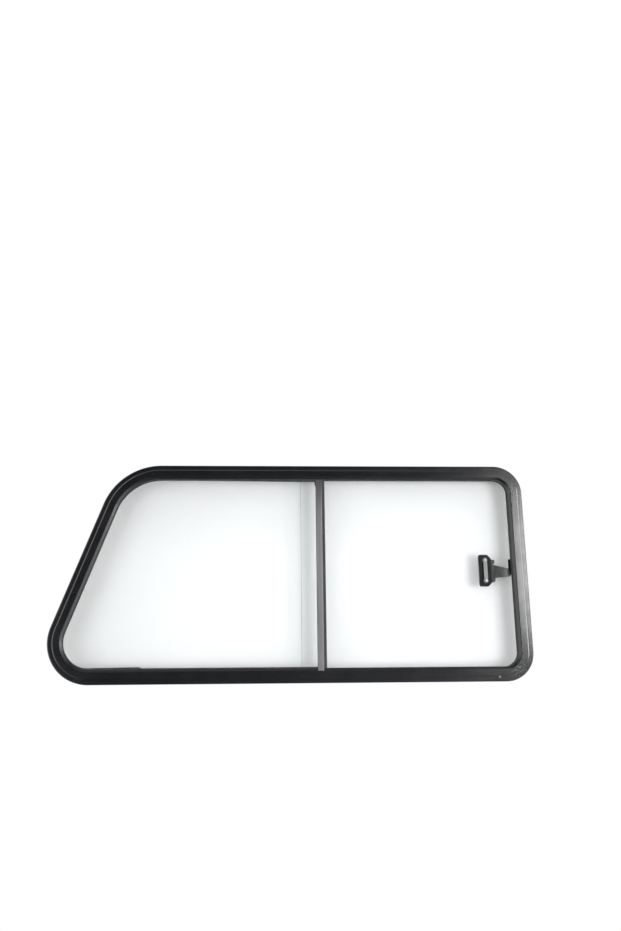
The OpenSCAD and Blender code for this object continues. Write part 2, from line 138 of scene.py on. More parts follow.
def span(s0, s1, arc=math.radians(2.5), extra=()):
    """Distances from s0 to s1 at which a sweep gets a ring of points. Bends get one at every arc."""
    marks = {s0, s1, *extra}
    for lap in (0.0, ROUND):
        for seg in SEGMENTS:
            step = RUN_STEP if seg[0] == "run" else arc * seg[6]
            parts = max(1, math.ceil(seg[2] / step))
            for k in range(parts + 1):
                s = lap + seg[1] + seg[2] * k / parts
                if s0 + LEAST_GAP < s < s1 - LEAST_GAP and all(abs(s - e) > LEAST_GAP for e in extra):
                    marks.add(round(s, 6))
    ordered = sorted(marks)
    return [s for k, s in enumerate(ordered) if k == 0 or s - ordered[k - 1] > 1e-4]


def outline_points(marks, inset):
    """Points of the outline at the marks, moved inwards."""
    points = []
    for s in marks:
        x, z, h = station(s)
        points.append((x + inset * math.sin(h), z - inset * math.cos(h)))
    return points


def unit(value):
    """The value held between 0 and 1."""
    return max(0.0, min(1.0, value))


# Sections are loops of (across, depth, rounding radius)

ROUNDING_STEPS = 3
LARGEST_CUT = 0.48


def soften(points):
    """Rounds a section's corners. A rounding takes up at most the largest cut's share of a side."""
    out = []
    n = len(points)
    for k in range(n):
        x, y, r = points[k]
        if r <= 0:
            out.append((x, y))
            continue
        p = Vector((x, y))
        a = Vector(points[k - 1][:2]) - p
        b = Vector(points[(k + 1) % n][:2]) - p
        cut_a, cut_b = min(r, a.length * LARGEST_CUT), min(r, b.length * LARGEST_CUT)
        start, end = p + a.normalized() * cut_a, p + b.normalized() * cut_b
        for q in range(ROUNDING_STEPS + 1):
            t = q / ROUNDING_STEPS
            m = start * (1 - t) ** 2 + p * (2 * t * (1 - t)) + end * t ** 2
            out.append((m.x, m.y))
    return out


def finish_mesh(name, mesh, body, material, stands_for=(), slot=None, sharp=32):
    """Makes the mesh a piece that rides the body."""
    mesh.shade_smooth()
    mesh.set_sharp_from_angle(angle=math.radians(sharp))
    mesh.materials.append(material)
    obj = bpy.data.objects.new(name, mesh)
    bpy.context.scene.collection.objects.link(obj)
    flat_faces = obj.modifiers.new("flat_faces", "WEIGHTED_NORMAL")
    flat_faces.keep_sharp = True
    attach(obj, body)
    if stands_for:
        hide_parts(*stands_for)
    return obj


def loft(name, rings, along, closed, body, material, stands_for=(), slot=None, sharp=32, across=None,
         copies=((0, 0, 0),)):
    """A mesh from rings of 3-D points in millimetres, with UVs in metres along and across.
    It is repeated at each offset in copies."""
    bm = bmesh.new()
    uv = bm.loops.layers.uv.new("along")
    n = len(rings[0])
    first = across or rings[0]
    edge = [0.0]
    for j in range(n):
        edge.append(edge[-1] + math.dist(first[j], first[(j + 1) % n]))
    count = len(rings)
    for offset in copies:
        verts = [[bm.verts.new((Vector(p) + Vector(offset)) * MM) for p in ring] for ring in rings]
        for i in range(count if closed else count - 1):
            a, b = verts[i], verts[(i + 1) % count]
            s0, s1 = along[i], along[i + 1]
            for j in range(n):
                k = (j + 1) % n
                face = bm.faces.new((a[j], a[k], b[k], b[j]))
                corners = ((s0, edge[j]), (s0, edge[j + 1]), (s1, edge[j + 1]), (s1, edge[j]))
                for loop, (u, v) in zip(face.loops, corners):
                    loop[uv].uv = (u * MM, v * MM)
        if not closed:
            for ring in (verts[0], verts[-1]):
                face = bm.faces.new(ring)
                for loop in face.loops:
                    loop[uv].uv = (loop.vert.co.x, loop.vert.co.y)
    bmesh.ops.recalc_face_normals(bm, faces=bm.faces)
    mesh = bpy.data.meshes.new(name)
    bm.to_mesh(mesh)
    bm.free()
    return finish_mesh(name, mesh, body, material, stands_for, slot, sharp)


def sweep(name, section, body, material, s0=0.0, s1=None, extra=(), shape=None, **more):
    """Sweeps a section of inset and depth round the outline. shape(s, points) may alter a ring."""
    closed = s1 is None
    stop = s0 + ROUND if closed else s1
    marks = span(s0, stop, extra=extra)
    rings = []
    for s in (marks[:-1] if closed else marks):
        x, z, h = station(s)
        points = shape(s, section) if shape else section
        rings.append([(x + i * math.sin(h), y, z - i * math.cos(h)) for i, y in points])
    return loft(name, rings, marks, closed, body, material,
                across=[(i, y, 0) for i, y in section], **more)


def upright(name, section, z_marks, body, material, shape=None, **more):
    """Sweeps a section of x and depth up a straight line."""
    rings = []
    for z in z_marks:
        points = shape(z, section) if shape else section
        rings.append([(x, y, z) for x, y in points])
    return loft(name, rings, z_marks, False, body, material,
                across=[(x, y, 0) for x, y in section], **more)


def slab(name, outline, levels, body, material, place=lambda a, b, h: (a, h, b), **more):
    """A plate from a closed flat outline. Levels are heights with how far the outline shrinks."""
    n = len(outline)
    doubled = sum(outline[k - 1][0] * outline[k][1] - outline[k][0] * outline[k - 1][1] for k in range(n))
    side = 1 if doubled > 0 else -1
    normals = []
    for k in range(n):
        t = (Vector(outline[(k + 1) % n]) - Vector(outline[k - 1])).normalized()
        normals.append(Vector((t.y, -t.x)) * side)
    rings = []
    for h, shrink in levels:
        rings.append([place(p[0] - m.x * shrink, p[1] - m.y * shrink, h) for p, m in zip(outline, normals)])
    return loft(name, rings, [h for h, _ in levels], False, body, material, **more)


def rounded_levels(h0, h1, r0, r1=None, steps=ROUNDING_STEPS):
    """Levels of a slab with an arris of radius r0 at h0 and r1 at h1."""
    r1 = r0 if r1 is None else r1
    angles = [math.pi / 2 * q / steps for q in range(steps + 1)]
    low = [(h0 + r0 * (1 - math.sin(a)), r0 * (1 - math.cos(a))) for a in reversed(angles)]
    return low + [(h1 - r1 * (1 - math.sin(a)), r1 * (1 - math.cos(a))) for a in angles]


def turned(name, x, z, profile, body, material, steps=48, **more):
    """A piece turned about Y from (depth, radius), where a radius may depend on the angle."""
    rings = []
    for y, r in profile:
        ring = []
        for k in range(steps):
            a = 2 * math.pi * k / steps
            d = r(a) if callable(r) else r
            ring.append((x + d * math.cos(a), y, z + d * math.sin(a)))
        rings.append(ring)
    return loft(name, rings, [y for y, _ in profile], False, body, material, **more)


def cross(size, arm):
    """Radius of a cross recess at an angle."""
    def radius(a):
        b = abs((a + math.pi / 4) % (math.pi / 2) - math.pi / 4)
        return size / math.cos(b) if math.tan(b) < arm / size else arm / math.sin(b)
    return radius


def hexagon(size):
    """Radius of a hexagon at an angle, from half its width across flats."""
    return lambda a: size / math.cos((a + math.pi / 6) % (math.pi / 3) - math.pi / 6)


def rounded_outline(corners, steps=6):
    """Closed outline from (x, z, radius) corners."""
    out = []
    n = len(corners)
    for k in range(n):
        x, z, r = corners[k]
        p = Vector((x, z))
        if r <= 0:
            out.append((x, z))
            continue
        a = (Vector(corners[k - 1][:2]) - p).normalized()
        b = (Vector(corners[(k + 1) % n][:2]) - p).normalized()
        half = math.acos(max(-1, min(1, a.dot(b)))) / 2
        reach = r / math.tan(half)
        c = p + (a + b).normalized() * (r / math.sin(half))
        start, end = p + a * reach - c, p + b * reach - c
        total = math.atan2(start.x * end.y - start.y * end.x, start.dot(end))
        for q in range(steps + 1):
            w = total * q / steps
            v = Vector((start.x * math.cos(w) - start.y * math.sin(w),
                        start.x * math.sin(w) + start.y * math.cos(w)))
            out.append((c.x + v.x, c.y + v.y))
    return out


# Materials

class Nodes:
    """Short calls for building a node tree."""

    def __init__(self, tree):
        self.tree = tree

    def node(self, kind, **props):
        made = self.tree.nodes.new(kind)
        for key, value in props.items():
            setattr(made, key, value)
        return made

    def link(self, a, b):
        self.tree.links.new(a, b)

    def feed(self, socket, value):
        """Sets a socket to a number or colour, or links an output to it."""
        if isinstance(value, (int, float, tuple)):
            socket.default_value = value
        else:
            self.link(value, socket)

    def place(self, source="Object"):
        """X, Y and Z of the source's coordinates."""
        split = self.node("ShaderNodeSeparateXYZ")
        self.link(self.node("ShaderNodeTexCoord").outputs[source], split.inputs[0])
        return split.outputs

    def ramp(self, value, low, high, a=0.0, b=1.0):
        made = self.node("ShaderNodeMapRange", interpolation_type="SMOOTHSTEP")
        for key, number in (("From Min", low), ("From Max", high), ("To Min", a), ("To Max", b)):
            self.feed(made.inputs[key], number)
        self.feed(made.inputs["Value"], value)
        return made.outputs["Result"]

    def math(self, kind, a, b=0.0, clamp=False):
        made = self.node("ShaderNodeMath", operation=kind, use_clamp=clamp)
        self.feed(made.inputs[0], a)
        self.feed(made.inputs[1], b)
        return made.outputs[0]


class Tree(Nodes):
    """Short calls for building one material's nodes."""

    def __init__(self, name):
        self.material = bpy.data.materials.new(name)
        self.material.use_nodes = True
        super().__init__(self.material.node_tree)
        self.bsdf = self.tree.nodes["Principled BSDF"]
        self.out = self.tree.nodes["Material Output"]

    def coords(self, scale=(1, 1, 1), uv=False):
        source = self.node("ShaderNodeUVMap", uv_map="along") if uv else self.node("ShaderNodeTexCoord")
        mapping = self.node("ShaderNodeMapping")
        mapping.inputs["Scale"].default_value = scale
        self.link(source.outputs["UV" if uv else "Object"], mapping.inputs["Vector"])
        return mapping.outputs["Vector"]

    def noise(self, vector, scale, detail=3.0, rough=0.55):
        made = self.node("ShaderNodeTexNoise")
        made.inputs["Scale"].default_value = scale
        made.inputs["Detail"].default_value = detail
        made.inputs["Roughness"].default_value = rough
        self.link(vector, made.inputs["Vector"])
        return made.outputs["Fac"]

    def mix(self, fac, a, b):
        made = self.node("ShaderNodeMix", data_type="RGBA")
        self.feed(made.inputs["Factor"], fac)
        self.feed(made.inputs["A"], a)
        self.feed(made.inputs["B"], b)
        return made.outputs["Result"]

    def bump(self, height, distance=0.00003, strength=0.5):
        made = self.node("ShaderNodeBump")
        made.inputs["Distance"].default_value = distance
        made.inputs["Strength"].default_value = strength
        self.link(height, made.inputs["Height"])
        self.link(made.outputs["Normal"], self.bsdf.inputs["Normal"])

    def near(self, point, radius):
        """1 at a point of the object, falling to 0 at the radius, both in metres."""
        gap = self.node("ShaderNodeVectorMath", operation="DISTANCE")
        self.link(self.node("ShaderNodeTexCoord").outputs["Object"], gap.inputs[0])
        gap.inputs[1].default_value = point
        return self.ramp(gap.outputs["Value"], 0.0, radius, 1.0, 0.0)

    def mixed_shader(self, fac, first, second):
        """Gives the material the first shader where fac is 0 and the second where it is 1."""
        blend = self.node("ShaderNodeMixShader")
        self.link(fac, blend.inputs["Fac"])
        self.link(first, blend.inputs[1])
        self.link(second, blend.inputs[2])
        self.link(blend.outputs["Shader"], self.out.inputs["Surface"])
        return self.material


def grey(v):
    return (v, v, v, 1.0)


# Painted highlights on the frame's two corners at the jamb, and a pale dot on the bottom run: place and
# radius
CORNER_HIGHLIGHTS = (((0.466, -0.005, 0.018), 0.026), ((0.482, -0.005, 0.400), 0.020))
PALE_DOT = ((0.4256, -0.005, 0.0038), 0.004)


def satin_black(name):
    """Satin black with lines along the section, dust, painted highlights at the jamb's corners and a pale
    dot.
    """
    t = Tree(name)
    lines = t.noise(t.coords((6.0, 900.0, 1.0), uv=True), 1.0, 4.0)
    cloud = t.noise(t.coords(), 22.0, 4.0)
    fine = t.noise(t.coords(), 900.0, 2.0)
    dust = t.ramp(t.noise(t.coords(), 260.0, 2.0), 0.66, 0.80)
    patches = t.ramp(t.noise(t.coords(), 160.0, 5.0, 0.7), 0.50, 0.66, 0.0, 0.55)
    # Painted highlights: pale patches on the two corners at the jamb, together with the pale dot.
    highlight_mask = t.math("MAXIMUM", t.near(*CORNER_HIGHLIGHTS[0]), t.near(*CORNER_HIGHLIGHTS[1]))
    highlights_and_dot = t.math("MAXIMUM", t.math("MULTIPLY", highlight_mask, patches), t.near(*PALE_DOT))
    base = t.mix(cloud, (0.0038, 0.0045, 0.0058, 1), (0.0074, 0.0080, 0.0100, 1))
    base = t.mix(t.math("MULTIPLY", t.ramp(lines, 0.52, 0.75), 0.5), base, (0.013, 0.013, 0.016, 1))
    base = t.mix(t.math("MULTIPLY", dust, 0.20), base, grey(0.06))
    base = t.mix(t.math("MULTIPLY", highlights_and_dot, 0.8), base, (0.26, 0.26, 0.27, 1))
    t.link(base, t.bsdf.inputs["Base Color"])
    t.bsdf.inputs["Specular IOR Level"].default_value = 1.0
    rough = t.math("ADD", t.ramp(lines, 0.3, 0.7, 0.15, 0.21), t.ramp(cloud, 0.3, 0.7, -0.02, 0.03))
    t.link(t.math("ADD", rough, t.math("MULTIPLY", highlights_and_dot, 0.2)), t.bsdf.inputs["Roughness"])
    t.bump(t.math("ADD", lines, t.math("MULTIPLY", fine, 0.4)), 0.00004)
    return t.material


def rubber():
    """Extruded rubber, with fine lines along it and dust."""
    t = Tree("seal_rubber")
    cloud = t.noise(t.coords(), 45.0, 5.0, 0.6)
    fine = t.noise(t.coords(), 1400.0, 2.0)
    lines = t.noise(t.coords((3.0, 700.0, 1.0), uv=True), 1.0, 2.0)
    dust = t.ramp(t.noise(t.coords(), 420.0, 3.0), 0.60, 0.78)
    base = t.mix(t.ramp(cloud, 0.35, 0.68), grey(0.030), grey(0.050))
    base = t.mix(t.math("MULTIPLY", dust, 0.35), base, (0.10, 0.10, 0.095, 1))
    t.link(base, t.bsdf.inputs["Base Color"])
    t.link(t.ramp(cloud, 0.3, 0.7, 0.57, 0.70), t.bsdf.inputs["Roughness"])
    t.bsdf.inputs["Specular IOR Level"].default_value = 0.35
    t.bump(t.math("ADD", t.math("MULTIPLY", fine, 0.5), lines), 0.00006)
    return t.material


def flock():
    """Flock: matt, with a sheen."""
    t = Tree("black_flock")
    fibre = t.noise(t.coords(), 3200.0, 3.0, 0.7)
    cloud = t.noise(t.coords(), 60.0, 3.0)
    t.link(t.mix(t.ramp(cloud, 0.3, 0.7), grey(0.010), grey(0.022)), t.bsdf.inputs["Base Color"])
    t.link(t.ramp(fibre, 0.2, 0.8, 0.85, 1.0), t.bsdf.inputs["Roughness"])
    t.bsdf.inputs["Specular IOR Level"].default_value = 0.15
    t.bsdf.inputs["Sheen Weight"].default_value = 0.35
    t.bsdf.inputs["Sheen Roughness"].default_value = 0.5
    t.bump(fibre, 0.0002, 0.8)
    return t.material


def moulded(name, low, high, rough):
    """Moulded plastic between two colours, with a fine grain and a few scratches."""
    t = Tree(name)
    cloud = t.noise(t.coords(), 80.0, 3.0)
    grain = t.noise(t.coords(), 1900.0, 2.0)
    scratch = t.ramp(t.noise(t.coords((40.0, 40.0, 900.0)), 1.0, 3.0), 0.62, 0.72)
    t.link(t.mix(t.ramp(cloud, 0.3, 0.7), low, high), t.bsdf.inputs["Base Color"])
    t.link(t.math("ADD", t.ramp(cloud, 0.3, 0.7, rough - 0.04, rough + 0.05),
                  t.math("MULTIPLY", scratch, 0.06)), t.bsdf.inputs["Roughness"])
    t.bump(grain)
    return t.material


def metal(name, low, high, rough, scale, metallic=1.0, painted_shade_span=None):
    """Drawn or brushed metal with its lines across the given scale. The optional span gives the two heights
    between which it darkens with painted shade, and by how much."""
    t = Tree(name)
    lines = t.noise(t.coords(scale), 1.0, 4.0)
    cloud = t.noise(t.coords(), 35.0, 4.0)
    stain = t.ramp(t.noise(t.coords(), 120.0, 4.0, 0.65), 0.58, 0.75)
    base = t.mix(t.ramp(lines, 0.3, 0.7), low, high)
    base = t.mix(t.math("MULTIPLY", stain, 0.3), base, tuple(0.55 * c for c in low[:3]) + (1,))
    # Painted shade: the colour darkens between the two heights, towards the upper end.
    if painted_shade_span:
        start, end, share = painted_shade_span
        base = t.mix(t.ramp(t.place()["Z"], start, end, 0.0, share), base, grey(0.0))
    t.link(base, t.bsdf.inputs["Base Color"])
    t.bsdf.inputs["Metallic"].default_value = metallic
    t.link(t.math("ADD", t.ramp(lines, 0.3, 0.7, rough - 0.05, rough + 0.06),
                  t.ramp(cloud, 0.3, 0.7, -0.03, 0.04)), t.bsdf.inputs["Roughness"])
    t.bump(lines)
    return t.material


GLASS_IOR = 1.5


def glass():
    """Float glass: clear with a faint green, and it lets lamps through."""
    t = Tree("float_glass")
    t.bsdf.inputs["Transmission Weight"].default_value = 1.0
    t.bsdf.inputs["IOR"].default_value = GLASS_IOR
    smear = t.noise(t.coords(), 9.0, 4.0, 0.6)
    t.link(t.mix(smear, (0.958, 0.970, 0.970, 1), (0.976, 0.983, 0.984, 1)), t.bsdf.inputs["Base Color"])
    t.link(t.ramp(smear, 0.4, 0.75, 0.0, 0.012), t.bsdf.inputs["Roughness"])
    through = t.node("ShaderNodeBsdfTransparent")
    through.inputs["Color"].default_value = (0.960, 0.967, 0.970, 1)
    shadow = t.node("ShaderNodeLightPath").outputs["Is Shadow Ray"]
    return t.mixed_shader(shadow, t.bsdf.outputs["BSDF"], through.outputs["BSDF"])


def ground_edge():
    """The ground edge of a pane, greener and duller than its faces."""
    t = Tree("ground_glass_edge")
    grain = t.noise(t.coords(), 2600.0, 3.0, 0.7)
    t.link(t.mix(grain, (0.16, 0.26, 0.22, 1), (0.30, 0.42, 0.37, 1)), t.bsdf.inputs["Base Color"])
    t.link(t.ramp(grain, 0.2, 0.8, 0.40, 0.60), t.bsdf.inputs["Roughness"])
    t.bsdf.inputs["Transmission Weight"].default_value = 0.55
    t.bsdf.inputs["IOR"].default_value = GLASS_IOR
    t.bump(grain)
    return t.material


M_FRAME = satin_black("satin_black_frame")
M_BEAD = satin_black("satin_black_bead")
M_SEAL = rubber()
M_FLOCK = flock()
M_PLASTIC = moulded("black_plastic", (0.012, 0.012, 0.014, 1), (0.022, 0.022, 0.024, 1), 0.38)
M_NYLON = moulded("pale_nylon", (0.62, 0.60, 0.53, 1), (0.70, 0.68, 0.62, 1), 0.45)
# The mullion's colour darkens towards its upper end: painted shade.
M_MULLION = metal("grey_mullion", (0.165, 0.162, 0.172, 1), (0.250, 0.246, 0.258, 1), 0.42,
                  (700.0, 700.0, 5.0), metallic=0.25, painted_shade_span=(0.33, 0.44, 0.68))
M_STEEL = metal("brushed_steel", (0.50, 0.50, 0.50, 1), (0.66, 0.66, 0.65, 1), 0.30, (900.0, 900.0, 20.0))
M_STRIP = metal("zinc_strip", (0.26, 0.26, 0.27, 1), (0.38, 0.38, 0.38, 1), 0.46, (900.0, 900.0, 20.0))
M_ALUMINIUM = metal("mill_aluminium", (0.46, 0.46, 0.47, 1), (0.60, 0.60, 0.61, 1), 0.42,
                    (12.0, 500.0, 500.0))
M_GLASS = glass()
M_EDGE = ground_edge()


# Frame: one swept section with its tracks, like the extrusion

frame_section = soften([
    (1.5, -2.5, 0.3), (9.6, -2.5, 0.1), (9.6, -5.12, 0.05), (11.5, -5.98, 0.45),
    (17.5, -6.0, 0), (24.6, -6.0, 0.7), (29.7, -4.12, 0.4), (30, -4.0, 0.1),
    (21, -4.0, 0.2), (21, 2.4, 0.2), (30, 2.4, 0.3), (30, 4.4, 0.3), (21, 4.4, 0.2),
    (21, 15.2, 0.2), (28.8, 15.2, 0.4), (28.8, 17.2, 0.4), (14, 17.2, 0.4), (14, 20, 0.3), (12, 20, 0.3),
    (12, 0, 0.3), (1.5, 0, 0.3),
])
joint_s = bottom_at(JOINT_X)
joint_marks = [joint_s + ROUND + side for side in (-0.35, -0.12, 0.12, 0.35)]
JOINT_HALF, JOINT_DEPTH = 0.2, 0.25


def butt_joint(s, points):
    """Sinks the section a little at the butt joint, so that a fine line shows there."""
    gap = abs((s - joint_s + ROUND / 2) % ROUND - ROUND / 2)
    if gap > JOINT_HALF:
        return points
    return [(i, y + JOINT_DEPTH if y < TRACK_Y and i > FACE_IN - 0.1 else y) for i, y in points]


sweep("frame_profile_skin", frame_section, "frame", M_FRAME, s0=joint_s + 60, extra=joint_marks,
      shape=butt_joint, stands_for=["frame_profile"], slot="black_aluminium", sharp=40)

bead_section = soften([
    (1.5, 0, 0), (0.05, 0, 0.2), (0.0, -3.2, 0), (0.3, -4.5, 0.8), (1.5, -5.15, 0.9), (5.0, -5.22, 0),
    (9.55, -5.2, 0.08), (9.55, -2.5, 0.1), (1.5, -2.5, 0),
])
sweep("outer_bead_skin", bead_section, "frame", M_BEAD,
      stands_for=["outer_bead"], slot="black_pvc", sharp=50)


# Fixed side seal: its gasket ends meet on the bottom run, where one end stands a little prouder

gasket_end = bottom_at(-309.6)
seal_section = soften([
    (21, -4.0, 0.1), (29.8, -4.0, 0), (30.5, -4.32, 0.3), (31.6, -4.45, 0.5), (32.0, -4.2, 0.15),
    (32.4, -4.35, 0.3), (33.4, -4.0, 0.5), (34.0, -2.85, 0.2), (33.6, -2.8, 0), (23, -2.8, 0.2),
    (23, 1.2, 0.2), (30.8, 1.2, 0.2), (31.0, 1.9, 0.4), (30, 2.4, 0.2), (21, 2.4, 0.1),
])

# How far the lip stands out at the low left, at the top and elsewhere, and where it changes
LAP_PROUDER, LAP_HANGING, LAP_LEAST = 2.0, 3.0, -1.3
PROUDER_FADE, HANGING_X, HANGING_FADE = 90, -260, 270


def gasket_lap(s, points):
    """The lip is prouder at the low left, and hangs lower along the top towards the mullion."""
    prouder = unit(1.5 - (s - gasket_end) / PROUDER_FADE) if s > gasket_end else 0.0
    hanging = unit((s - top_at(HANGING_X)) / HANGING_FADE)
    lap = LAP_PROUDER * prouder + LAP_HANGING * hanging + LAP_LEAST
    return [(i + lap * unit((i - 30) / 4) if y < -2 else i, y) for i, y in points]


tail_x = MULLION_L - 0.9
sweep("fixed_glass_seal_skin", seal_section, "frame", M_SEAL, s0=bottom_at(tail_x), s1=top_at(tail_x),
      extra=[gasket_end - 0.6, gasket_end + 0.6], shape=gasket_lap,
      stands_for=["fixed_glass_seal"], slot="black_rubber", sharp=40)

seal_upright = soften([
    (tail_x, -2.8, 0), (tail_x + 0.1, -3.7, 0.3), (MULLION_L + 0.3, -4.2, 0.2), (MULLION_L + 0.3, -4.0, 0),
    (WEB_X, -4.0, 0.1), (WEB_X, 2.4, 0.1), (MULLION_L, 2.4, 0.3), (MULLION_L, 1.2, 0.3),
    (WEB_X - 2, 1.2, 0.1), (WEB_X - 2, -2.8, 0.1),
])
upright("mullion_glass_seal", seal_upright,
        [BASE_Z + WALL_IN, BASE_Z + LIP_IN, *MIDDLE_Z, TOP_Z - LIP_IN, TOP_Z - WALL_IN],
        "frame", M_SEAL, slot="black_rubber", sharp=40)


# Sliding side seal and the flocked channels

side_section = soften([
    (21, -4.0, 0.1), (30.1, -4.0, 0.2), (30.4, -3.7, 0.2), (30.6, -2.0, 0.3), (30.6, 2.4, 0.3),
    (30.8, 7.3, 0.2), (30.3, 7.5, 0.2), (29.4, 2.4, 0.4), (21, 2.4, 0.1),
])
JAMB_LIP, JAMB_FADE = 1.7, 45


def jamb_lap(s, points):
    """The lip is wider on the jamb."""
    wider = unit((station(s)[0] - JAMB_BEND_X) / JAMB_FADE)
    return [(i + JAMB_LIP * wider if i > LIP_IN else i, y) for i, y in points]


sweep("slider_side_seal_skin", side_section, "frame", M_SEAL,
      s0=top_at(MULLION_R), s1=ROUND + bottom_at(MULLION_R), shape=jamb_lap,
      stands_for=["slider_side_seal"], slot="black_rubber", sharp=40)

channel_section = soften([
    (21, 4.4, 0.1), (29.6, 4.4, 0.2), (30.0, 5.0, 0.3), (29.2, 7.3, 0.3), (28.6, 7.5, 0.3),
    (28.0, 5.8, 0.3), (22.2, 5.6, 0.4), (22.2, 14.0, 0.4), (27.4, 13.8, 0.3), (28.0, 12.1, 0.3),
    (28.6, 12.3, 0.3), (29.0, 14.6, 0.3), (28.6, 15.2, 0.2), (21, 15.2, 0.1),
])
for run, s0, s1 in (
    ("top_run_channel", top_at(TOP_START), top_at(JAMB_BEND_X)),
    ("jamb_run_channel", top_at(JAMB_BEND_X), ROUND),
    ("bottom_run_channel", ROUND, ROUND + bottom_at(TOP_START)),
):
    sweep(run + "_skin", channel_section, "frame", M_FLOCK, s0=s0, s1=s1,
          stands_for=[run], slot="flocked_channel", sharp=40)


# Mullion: its lower end laps over the frame's face, its upper end runs under it

bar_section = soften([
    (MULLION_L, -4.0, 0.2), (MULLION_L, -6.6, 0.9), (MULLION_L + 1.2, -7.5, 0.9), (57, -7.6, 3),
    (WIPER_L - 1.2, -7.5, 0.9), (WIPER_L, -6.6, 0.8), (WIPER_L, 4.4, 0.3), (MULLION_L, 4.4, 0.4),
    (MULLION_L, 2.4, 0.3), (WEB_X + 0.05, 2.4, 0.1), (WEB_X + 0.05, -4.0, 0.1),
])

# Points in front of FRONT_Y belong to the bar's face, which sinks from SINK_Z up to the bar's top.
# FOOT_DROPS gives how far it drops at each height of the foot.
FRONT_Y = -5.5
SINK_Z, BAR_TOP, MOST_SUNK = 408, 422.0, 1.7
FOOT_DROPS = {18.5: 1.3, 18.9: 0.5, 19.6: 0.1, 24.0: 0.0}
BAR_FOOT = max(FOOT_DROPS)


def bar_top(z, points):
    """The bar's upper end sinks towards the frame's face."""
    sink = MOST_SUNK * max(0.0, (z - SINK_Z) / (BAR_TOP - SINK_Z)) ** 1.6
    return [(x, y + sink if y < FRONT_Y else y) for x, y in points]


upright("mullion_bar_skin", bar_section,
        [BAR_FOOT, 26, *MIDDLE_Z, 404, SINK_Z, 411, 414, 418, BAR_TOP],
        "frame", M_MULLION, shape=bar_top, stands_for=["mullion_bar"], slot="grey_aluminium", sharp=40)
foot_section = soften([
    (MULLION_L, -5.0, 0), (MULLION_L, -6.6, 0.9), (MULLION_L + 1.2, -7.5, 0.9), (57, -7.6, 3),
    (WIPER_L - 1.2, -7.5, 0.9), (WIPER_L, -6.6, 0.8), (WIPER_L, -5.0, 0),
])


def foot_shape(z, points):
    """The bar's foot thins towards its end, where it meets the frame's face."""
    return [(x, y + FOOT_DROPS[z] if y < FRONT_Y else y) for x, y in points]


upright("mullion_foot", foot_section, sorted(FOOT_DROPS), "frame", M_MULLION, shape=foot_shape,
        slot="grey_aluminium", sharp=40)

WIPER_TOP = 423.0
fillet = [(MULLION_L + 0.2, WIPER_TOP), (MULLION_L - 4.4, WIPER_TOP), (MULLION_L - 4.0, 418.0),
          (MULLION_L - 0.4, 404.5), (MULLION_L + 0.2, 404.5)]
slab("mullion_top_fillet", fillet, rounded_levels(-5.6, -2.9, 0.3, 0.1), "frame", M_SEAL,
     slot="black_rubber", sharp=40)

wiper_section = soften([
    (WIPER_L, -6.0, 0.2), (WIPER_L + 0.9, -6.1, 0.5), (WIPER_L + 1.6, -5.4, 0.3),
    (MULLION_R - 1.2, -4.9, 0.6), (MULLION_R, -4.2, 0.5), (MULLION_R, -2.0, 0.4), (WIPER_L + 2, 0.0, 0.5),
    (WIPER_L + 2, 4.4, 0.4), (WIPER_L + 4.5, 7.35, 0.3), (WIPER_L + 2.6, 7.5, 0.3), (WIPER_L, 4.4, 0.2),
])
upright("mullion_wiper_skin", wiper_section, [BAR_FOOT, *MIDDLE_Z, WIPER_TOP], "frame", M_SEAL,
        stands_for=["mullion_wiper"], slot="black_rubber", sharp=40)


# Panes

def grind_edges(pane):
    """Gives the arrises and edges of a pane their own material."""
    pane.data.materials.append(M_EDGE)
    for face in pane.data.polygons:
        face.material_index = 0 if abs(face.normal.y) > 0.95 else 1


fixed_edge = WEB_X - 2
fixed_marks = span(bottom_at(fixed_edge), top_at(fixed_edge), arc=math.radians(2))
grind_edges(slab("fixed_pane", outline_points(fixed_marks, GLASS_IN),
                 rounded_levels(FIXED_Y, FIXED_Y + GLASS_T, 0.4, steps=2),
                 "frame", M_GLASS, stands_for=["fixed_glass"], slot="clear_glass"))
PANE_ARRIS, HOLE_STEPS = 0.7, 36


def circle(x, z, r):
    angles = [2 * math.pi * k / HOLE_STEPS for k in range(HOLE_STEPS)]
    return [(x + r * math.cos(a), z + r * math.sin(a)) for a in angles]


def pane_with_holes(name, corners, holes, y0, y1, body, material, **more):
    """A flat pane with round holes: the face between outline and holes is triangulated."""
    outer = rounded_outline(corners, 10)
    bm = bmesh.new()
    bm.loops.layers.uv.new("along")

    def loop_of(points, y):
        vs = [bm.verts.new((x * MM, y * MM, z * MM)) for x, z in points]
        es = [bm.edges.new((vs[k], vs[(k + 1) % len(vs)])) for k in range(len(vs))]
        return vs, es

    middle = ((corners[0][0] + corners[1][0]) / 2, (corners[0][1] + corners[2][1]) / 2)

    def inner(points, d):
        return [(x - math.copysign(d, x - middle[0]), z - math.copysign(d, z - middle[1]))
                for x, z in points]

    loops = {}
    for y, d in ((y0, PANE_ARRIS), (y0 + PANE_ARRIS, 0.0), (y1 - PANE_ARRIS, 0.0), (y1, PANE_ARRIS)):
        loops[y] = [loop_of(inner(outer, d), y)] + [loop_of(circle(x, z, r + d), y) for x, z, r in holes]
    order = list(loops)
    for low, high in zip(order, order[1:]):
        for (a, _), (b, _) in zip(loops[low], loops[high]):
            for k in range(len(a)):
                m = (k + 1) % len(a)
                bm.faces.new((a[k], a[m], b[m], b[k]))
    for y in (y0, y1):
        edges = [e for _, es in loops[y] for e in es]
        bmesh.ops.triangle_fill(bm, edges=edges, use_beauty=True)
    bmesh.ops.recalc_face_normals(bm, faces=bm.faces)
    mesh = bpy.data.meshes.new(name)
    bm.to_mesh(mesh)
    bm.free()
    return finish_mesh(name, mesh, body, material, **more)


